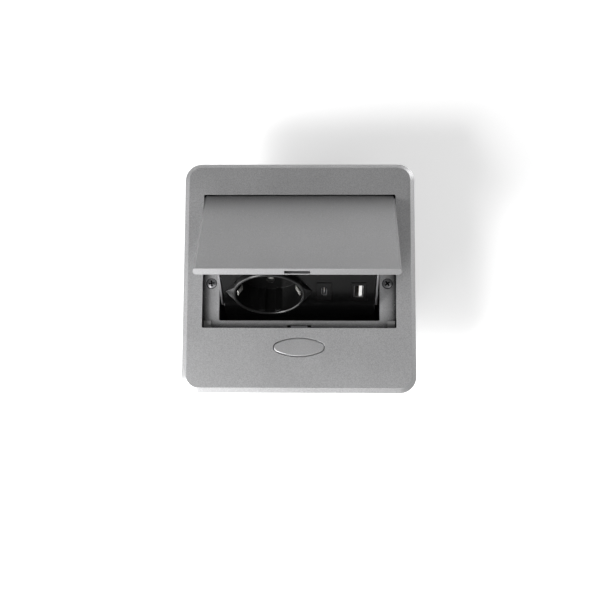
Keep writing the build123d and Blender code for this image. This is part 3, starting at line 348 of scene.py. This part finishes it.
def putOnPoints(tree, given, instance):  # one copy at each point of the piece's own mesh, turned in degrees
    dots = addNode(tree, "GeometryNodeMeshToPoints", {"Mesh": given["Geometry"]})
    turned = addNode(tree, "ShaderNodeVectorMath", {0: given["Turn"], "Scale": math.radians(1)}, operation="SCALE")
    return addNode(tree, "GeometryNodeInstanceOnPoints", {"Points": dots, "Instance": instance,
                                                          "Rotation": turned})


# Cross-head screw, standing on its seat: the dome falls with the square of the radius, two bars cut the cross.
# The rise is nearly half the height, so that the top's points lie above it and the head sinks in by a hair
def growHead(tree, given):
    head = addNode(tree, "GeometryNodeMeshCylinder", {"Vertices": 36, "Side Segments": 2, "Fill Segments": 5,
                                                      "Radius": given["Head Radius"],
                                                      "Depth": given["Head Height"]}, fill_type="TRIANGLE_FAN")
    axes = addNode(tree, "ShaderNodeSeparateXYZ", {0: addNode(tree, "GeometryNodeInputPosition")}).outputs
    flat = addNode(tree, "ShaderNodeCombineXYZ", {"X": axes["X"], "Y": axes["Y"]})
    across = addNode(tree, "ShaderNodeVectorMath", {0: flat}, operation="LENGTH").outputs["Value"]
    share = addNode(tree, "ShaderNodeMath", {0: across, 1: given["Head Radius"]}, operation="DIVIDE")
    square = addNode(tree, "ShaderNodeMath", {0: share, 1: share}, operation="MULTIPLY")
    fall = addNode(tree, "ShaderNodeMath", {0: square, 1: given["Dome"]}, operation="MULTIPLY")
    drop = addNode(tree, "ShaderNodeMath", {0: fall, 1: -1.0}, operation="MULTIPLY")
    half = addNode(tree, "ShaderNodeMath", {0: given["Head Height"], 1: 0.49}, operation="MULTIPLY")
    top = addNode(tree, "FunctionNodeCompare", {0: axes["Z"], 1: half}, operation="GREATER_THAN")
    domed = addNode(tree, "GeometryNodeSetPosition", {"Geometry": head, "Selection": top,
                                                      "Offset": addNode(tree, "ShaderNodeCombineXYZ", {"Z": drop})})
    bar = addNode(tree, "ShaderNodeCombineXYZ", {"X": given["Cross Length"], "Y": given["Cross Width"],
                                                 "Z": given["Cross Depth"]})
    rise = addNode(tree, "ShaderNodeCombineXYZ", {"Z": half})
    first = addNode(tree, "GeometryNodeTransform", {"Geometry": addNode(tree, "GeometryNodeMeshCube", {"Size": bar}),
                                                    "Translation": rise})
    second = addNode(tree, "GeometryNodeTransform", {"Geometry": first, "Rotation": (0, 0, math.radians(90))})
    cut = addNode(tree, "GeometryNodeMeshBoolean", {"Mesh 1": domed, "Mesh 2": [first, second]},
                  operation="DIFFERENCE")
    return addNode(tree, "GeometryNodeTransform", {"Geometry": cut, "Translation": rise})


headInputs = {"Turn": (0.0, 0.0, 0.0), "Head Radius": 0.0026, "Head Height": 0.0016, "Dome": 0.0004,
              "Cross Length": 0.0028, "Cross Width": 0.0006, "Cross Depth": 0.0016}
headTree, given = newTree("crossHead", headInputs)
endTree(headTree, putOnPoints(headTree, given, growHead(headTree, given)), given)

# The same head with a core and a ridge that winds down it
threadTree, given = newTree("threadedScrew", headInputs | {"Core Radius": 0.0017, "Core Length": 0.05,
                                                           "Pitch": 0.0007, "Ridge": 0.0003})
core = addNode(threadTree, "GeometryNodeMeshCylinder", {"Vertices": 24, "Radius": given["Core Radius"],
                                                        "Depth": given["Core Length"]})
middle = addNode(threadTree, "ShaderNodeMath", {0: given["Core Length"], 1: -0.5}, operation="MULTIPLY")
lower = addNode(threadTree, "ShaderNodeCombineXYZ", {"Z": middle})
core = addNode(threadTree, "GeometryNodeTransform", {"Geometry": core, "Translation": lower})
turns = addNode(threadTree, "ShaderNodeMath", {0: given["Core Length"], 1: given["Pitch"]}, operation="DIVIDE")
spiral = addNode(threadTree, "GeometryNodeCurveSpiral", {"Resolution": 14, "Rotations": turns,
                                                         "Start Radius": given["Core Radius"],
                                                         "End Radius": given["Core Radius"],
                                                         "Height": given["Core Length"]})
ridge = addNode(threadTree, "GeometryNodeCurvePrimitiveCircle", {"Resolution": 4, "Radius": given["Ridge"]})
thread = addNode(threadTree, "GeometryNodeCurveToMesh", {"Curve": spiral, "Profile Curve": ridge,
                                                         "Fill Caps": True})
whole = addNode(threadTree, "ShaderNodeMath", {0: given["Core Length"], 1: -1.0}, operation="MULTIPLY")
lower = addNode(threadTree, "ShaderNodeCombineXYZ", {"Z": whole})
thread = addNode(threadTree, "GeometryNodeTransform", {"Geometry": thread, "Translation": lower})
screw = addNode(threadTree, "GeometryNodeJoinGeometry", {"Geometry": [growHead(threadTree, given), core, thread]})
endTree(threadTree, putOnPoints(threadTree, given, screw), given)

# Compression spring: a helix of round wire, standing on its point
coilTree, given = newTree("coilSpring", {"Turn": (0.0, 0.0, 0.0), "Coil Radius": 0.0013, "Wire Radius": 0.0002,
                                         "Length": 0.01, "Turns": 8.0})
helix = addNode(coilTree, "GeometryNodeCurveSpiral", {"Resolution": 20, "Rotations": given["Turns"],
                                                      "Start Radius": given["Coil Radius"],
                                                      "End Radius": given["Coil Radius"],
                                                      "Height": given["Length"]})
section = addNode(coilTree, "GeometryNodeCurvePrimitiveCircle", {"Resolution": 8, "Radius": given["Wire Radius"]})
wire = addNode(coilTree, "GeometryNodeCurveToMesh", {"Curve": helix, "Profile Curve": section, "Fill Caps": True})
smooth = addNode(coilTree, "GeometryNodeSetShadeSmooth", {"Geometry": wire})
endTree(coilTree, putOnPoints(coilTree, given, smooth), given)

# Bent wire: round wire along the path of the piece's own mesh
wireTree, given = newTree("bentWire", {"Wire Radius": 0.0005})
path = addNode(wireTree, "GeometryNodeMeshToCurve", {"Mesh": given["Geometry"]})
section = addNode(wireTree, "GeometryNodeCurvePrimitiveCircle", {"Resolution": 10, "Radius": given["Wire Radius"]})
wire = addNode(wireTree, "GeometryNodeCurveToMesh", {"Curve": path, "Profile Curve": section, "Fill Caps": True})
endTree(wireTree, addNode(wireTree, "GeometryNodeSetShadeSmooth", {"Geometry": wire}), given)

# Contact strips: a small flat bar on each point
barTree, given = newTree("contactBars", {"Turn": (0.0, 0.0, 0.0), "Size": (0.001, 0.001, 0.0001)})
bar = addNode(barTree, "GeometryNodeMeshCube", {"Size": given["Size"]})
endTree(barTree, putOnPoints(barTree, given, bar), given)
print("node trees are built")

# The hinge axis, and the panel's face below and in front of it, as the CAD model has them (mm and degrees)
hinge = {"y": 48.3, "z": 1.0, "open": 45.84, "panelBelow": 31.79, "panelBefore": 52.9, "panelTilt": 66.0}


def onHinge(x, y, z):  # a point of the closed module, measured from the hinge axis, carried to the raised place
    turn = math.radians(hinge["open"])
    return (x * mm, (hinge["y"] + y * math.cos(turn) + z * math.sin(turn)) * mm,
            (hinge["z"] - y * math.sin(turn) + z * math.cos(turn)) * mm)


def onPanel(x, up, out):  # a point across, up and out of the panel's face
    lean = math.radians(hinge["open"] + hinge["panelTilt"] - 90)
    return onHinge(x, -hinge["panelBefore"] - up * math.sin(lean) - out * math.cos(lean),
                   -hinge["panelBelow"] + up * math.cos(lean) - out * math.sin(lean))


# M4 clamp screws with domed cross heads of 5.7 mm
clampScrew = {"head": 2.85, "height": 2.0, "dome": 0.6, "crossLong": 3.7, "crossWide": 0.95, "crossDeep": 2.6,
              "core": 1.72, "ridge": 0.28, "pitch": 0.7, "turns": {"left": 8.0, "right": 38.0}}


def headSizes(screw, turn):  # the head's part of the tree's inputs
    return {"Head Radius": screw["head"] * mm, "Head Height": screw["height"] * mm, "Dome": screw["dome"] * mm,
            "Cross Length": screw["crossLong"] * mm, "Cross Width": screw["crossWide"] * mm,
            "Cross Depth": screw["crossDeep"] * mm, "Turn": turn}


def makeClampScrews():
    for side, turn in clampScrew["turns"].items():
        low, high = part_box("clamp_screw_" + side)
        seat = ((low[0] + high[0]) / 2, (low[1] + high[1]) / 2, high[2] - clampScrew["height"] * mm)
        sizes = headSizes(clampScrew, (0.0, 0.0, turn)) | {
            "Core Radius": clampScrew["core"] * mm, "Core Length": seat[2] - low[2],
            "Pitch": clampScrew["pitch"] * mm, "Ridge": clampScrew["ridge"] * mm}
        piece = growPiece("threaded_clamp_screw_" + side, threadTree, [seat], [], sizes, blackScrew)
        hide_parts("clamp_screw_" + side)
        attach(piece, "housing")


# Small screws: each group has its seats, the way its heads point and the body that it holds
smallScrew = {"head": 2.4, "height": 1.3, "dome": 0.4, "crossLong": 2.6, "crossWide": 0.55, "crossDeep": 1.5}
smallScrewSeats = {
    "box_screws": ([(x * mm, y * mm, -8.5 * mm) for x in (-54.0, 54.0) for y in (-22.0, 36.0)],
                   (180.0, 0.0, 0.0), "housing"),
    "latch_housing_screws": ([(x * mm, -43.0 * mm, -2.5 * mm) for x in (-22.2, 22.2)],
                             (180.0, 0.0, 0.0), "housing"),
    "lid_screws": ([onHinge(x, y, -3.0) for x in (-34.0, 34.0) for y in (-54.0, -20.0)],
                   (180.0 - hinge["open"], 0.0, 0.0), "lid_module"),
    "cheek_screws_left": ([onPanel(-46.5, up, -10.0) for up in (14.0, -18.0)], (0.0, -90.0, 0.0), "lid_module"),
    "cheek_screws_right": ([onPanel(46.5, up, -10.0) for up in (14.0, -18.0)], (0.0, 90.0, 0.0), "lid_module"),
}


def makeSmallScrews():
    for name, (seats, turn, body) in smallScrewSeats.items():
        piece = growPiece(name, headTree, seats, [], headSizes(smallScrew, turn), zincScrew)
        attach(piece, body)


# Compression springs of the button, the latch and the shutter
smallSprings = {
    "button_springs": {"wire": 0.25, "turns": 8.0, "turn": (0.0, 0.0, 0.0), "axis": (0, 0, 1), "across": (0, 1, 0),
                       "spread": 15.6, "fixedEnd": -0.5, "body": "housing", "joint": "button_press", "travel": 2.0},
    "latch_spring": {"wire": 0.2, "turns": 6.0, "turn": (-90.0, 0.0, 0.0), "axis": (0, 1, 0), "across": (0, 0, 1),
                     "spread": 0.0, "fixedEnd": -0.5, "body": "housing", "joint": "bolt_slide", "travel": 2.0},
    "shutter_spring": {"wire": 0.15, "turns": 11.0, "turn": (0.0, 90.0, 0.0), "axis": (1, 0, 0),
                       "across": (0, 0, 1), "spread": 0.0, "fixedEnd": 0.5, "body": "lid_module",
                       "joint": "shutter_slide", "travel": 6.0},
}


def makeSmallSprings():
    for name, spring in smallSprings.items():
        low, high = (Vector(corner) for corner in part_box(name))
        along, wireRadius = Vector(spring["axis"]), spring["wire"] * mm
        middle, length = (low + high) / 2, (high - low).dot(Vector(spring["axis"]))
        radius = (high - low).dot(Vector(spring["across"])) / 2 - wireRadius
        foot = middle - along * (length / 2 - wireRadius)
        shifts = {-spring["spread"] * mm, spring["spread"] * mm}  # a single one where the spread is 0
        sizes = {"Turn": spring["turn"], "Coil Radius": radius, "Wire Radius": wireRadius,
                 "Length": length - 2 * wireRadius, "Turns": spring["turns"]}
        piece = growPiece("coil_" + name, coilTree, [foot + Vector((shift, 0, 0)) for shift in sorted(shifts)], [],
                          sizes, springSteel)
        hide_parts(name)
        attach(piece, spring["body"])
        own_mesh(piece)


# Torsion springs on the rod: one leg stands on the rear wall, the other pushes the module up and is squashed
lidSpring = {"wire": 0.5, "coil": 2.2, "turns": 7.75, "steps": 20, "inset": 0.52, "backY": 44.3, "backZ": -16.0,
             "pushY": 14.9, "pushZ": -18.7, "keep": 0.13}


def makeLidSprings():
    low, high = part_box("spring_rod")
    rodY, rodZ = (low[1] + high[1]) / 2, (low[2] + high[2]) / 2
    for side in ("left", "right"):
        low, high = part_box("lid_spring_" + side)
        start, end = (low[0], high[0]) if side == "left" else (high[0], low[0])
        inset = math.copysign(lidSpring["inset"] * mm, end - start)
        start, end = start + inset, end - inset
        points = [(start, lidSpring["backY"] * mm, lidSpring["backZ"] * mm)]
        count = round(lidSpring["turns"] * lidSpring["steps"])
        for i in range(count + 1):
            angle = 2 * math.pi * i / lidSpring["steps"]
            points.append((start + (end - start) * i / count, rodY + lidSpring["coil"] * mm * math.cos(angle),
                           rodZ + lidSpring["coil"] * mm * math.sin(angle)))
        sizes = {"Wire Radius": lidSpring["wire"] * mm}
        coil = growPiece("coil_lid_spring_" + side, wireTree, points, [(i, i + 1) for i in range(len(points) - 1)],
                         sizes, springSteel)
        leg = growPiece("leg_lid_spring_" + side, wireTree,
                        [points[-1], (end, lidSpring["pushY"] * mm, lidSpring["pushZ"] * mm)], [(0, 1)],
                        sizes, springSteel)
        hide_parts("lid_spring_" + side)
        for piece in (coil, leg):
            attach(piece, "housing")
        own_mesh(leg)


# Contact strips on the tongues of the two ports, in mm: one row at each x, and out is the depth behind the face
portContacts = {
    "usb_a_contacts": {"xs": (35.48,), "count": 4, "pitch": 2.3, "long": 7.0, "wide": 1.1, "thick": 0.1,
                       "out": -4.8},
    "usb_c_contacts": {"xs": (14.637, 15.337), "count": 12, "pitch": 0.5, "long": 3.4, "wide": 0.26, "thick": 0.1,
                       "out": -4.2},
}


def makePortContacts():
    for name, strip in portContacts.items():
        middle = (strip["count"] - 1) / 2
        spots = [onPanel(x, (i - middle) * strip["pitch"], strip["out"])
                 for x in strip["xs"] for i in range(strip["count"])]
        sizes = {"Turn": (hinge["panelTilt"], 0.0, 0.0),
                 "Size": (strip["thick"] * mm, strip["wide"] * mm, strip["long"] * mm)}
        piece = growPiece(name, barTree, spots, [], sizes, goldFlash)
        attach(piece, "lid_module")


makeClampScrews()
makeSmallScrews()
makeSmallSprings()
makeLidSprings()
makePortContacts()
print("screws, springs and contacts are made")

# Studio: a white floor under the box, a dim room that is brighter in front, and soft lamps
studio = {
    "floorZ": -0.0605, "floorSize": 6.0, "floorColour": "#f2f2f2", "floorGlow": 0.5,
    "roomRear": 0.12, "roomFront": 0.30, "background": 1.0, "aim": (0, 0, 0.02),
    "lamps": [
        # name, place, size, power
        ("overhead", (-0.52, -0.49, 0.64), 0.28, 7.4),
        ("rightHigh", (0.42, -0.25, 0.75), 0.4, 0.5),
        ("front", (-0.25, -0.85, 0.22), 0.4, 0.5),
        ("leftFront", (-0.42, -0.34, 0.10), 0.3, 2.0),
        ("rightRear", (0.62, 0.52, 0.2), 0.4, 1.5),
    ],
}


def makeStudio():
    bpy.ops.mesh.primitive_plane_add(size=studio["floorSize"], location=(0, 0, studio["floorZ"]))
    floor = bpy.context.object
    floor.name = "floor"
    material, tree = newMaterial("studioFloor")
    path = addNode(tree, "ShaderNodeLightPath").outputs
    seen = addNode(tree, "ShaderNodeMath", {0: path["Is Camera Ray"], 1: path["Is Glossy Ray"]}, operation="MAXIMUM")
    seen = addNode(tree, "ShaderNodeMath", {0: seen, 1: path["Is Transmission Ray"]}, operation="MAXIMUM")
    glow = addNode(tree, "ShaderNodeMath", {0: seen, 1: studio["floorGlow"]}, operation="MULTIPLY")
    white = toLinear(studio["floorColour"])
    diffuse = addNode(tree, "ShaderNodeBsdfDiffuse", {"Color": white})
    light = addNode(tree, "ShaderNodeEmission", {"Color": white, "Strength": glow})
    both = addNode(tree, "ShaderNodeAddShader", {0: diffuse, 1: light})
    addNode(tree, "ShaderNodeOutputMaterial", {"Surface": both})
    floor.data.materials.append(material)

    world = bpy.data.worlds.new("studioRoom")
    bpy.context.scene.world = world
    world.use_nodes = True
    tree = world.node_tree
    tree.nodes.clear()
    path = addNode(tree, "ShaderNodeLightPath").outputs
    seen = addNode(tree, "ShaderNodeMath", {0: path["Is Camera Ray"], 1: path["Is Transmission Ray"]},
                   operation="MAXIMUM")
    direction = addNode(tree, "ShaderNodeSeparateXYZ",
                        {0: addNode(tree, "ShaderNodeTexCoord").outputs["Generated"]}).outputs
    room = addNode(tree, "ShaderNodeMapRange", {"Value": direction["Y"], "From Min": 1.0, "From Max": -1.0,
                                                "To Min": studio["roomRear"], "To Max": studio["roomFront"]})
    strength = addNode(tree, "ShaderNodeMapRange", {"Value": seen, "To Min": room, "To Max": studio["background"]})
    sky = addNode(tree, "ShaderNodeBackground", {"Color": (1, 1, 1, 1), "Strength": strength})
    addNode(tree, "ShaderNodeOutputWorld", {"Surface": sky})

    for name, place, size, power in studio["lamps"]:
        lamp = bpy.data.lights.new(name, "AREA")
        lamp.shape = "SQUARE"
        lamp.size = size
        lamp.energy = power
        holder = bpy.data.objects.new(name, lamp)
        holder.location = place
        holder.rotation_euler = (Vector(studio["aim"]) - Vector(place)).to_track_quat("-Z", "Y").to_euler()
        bpy.context.scene.collection.objects.link(holder)


# Camera: fitted to the plate's outline, the opening and the raised lid in the photograph
cameraView = {"place": (0.01477, -0.11933, 0.68528), "pitch": -8.741, "yaw": -1.184, "roll": -0.097,
              "lens": 68.96, "sensor": 36.0}


def makeCamera():
    data = bpy.data.cameras.new("camera")
    data.lens = cameraView["lens"]
    data.sensor_width = cameraView["sensor"]
    camera = bpy.data.objects.new("camera", data)
    turn = Matrix.Rotation(math.radians(cameraView["roll"]), 3, "Z")
    turn = turn @ Matrix.Rotation(math.radians(cameraView["yaw"]), 3, "Y")
    turn = turn @ Matrix.Rotation(math.radians(cameraView["pitch"]), 3, "X")
    camera.matrix_world = Matrix.Translation(cameraView["place"]) @ turn.transposed().to_4x4()
    bpy.context.scene.collection.objects.link(camera)
    bpy.context.scene.camera = camera


makeStudio()
makeCamera()
bpy.context.scene.view_settings.view_transform = "Standard"
print("studio and camera are in place")
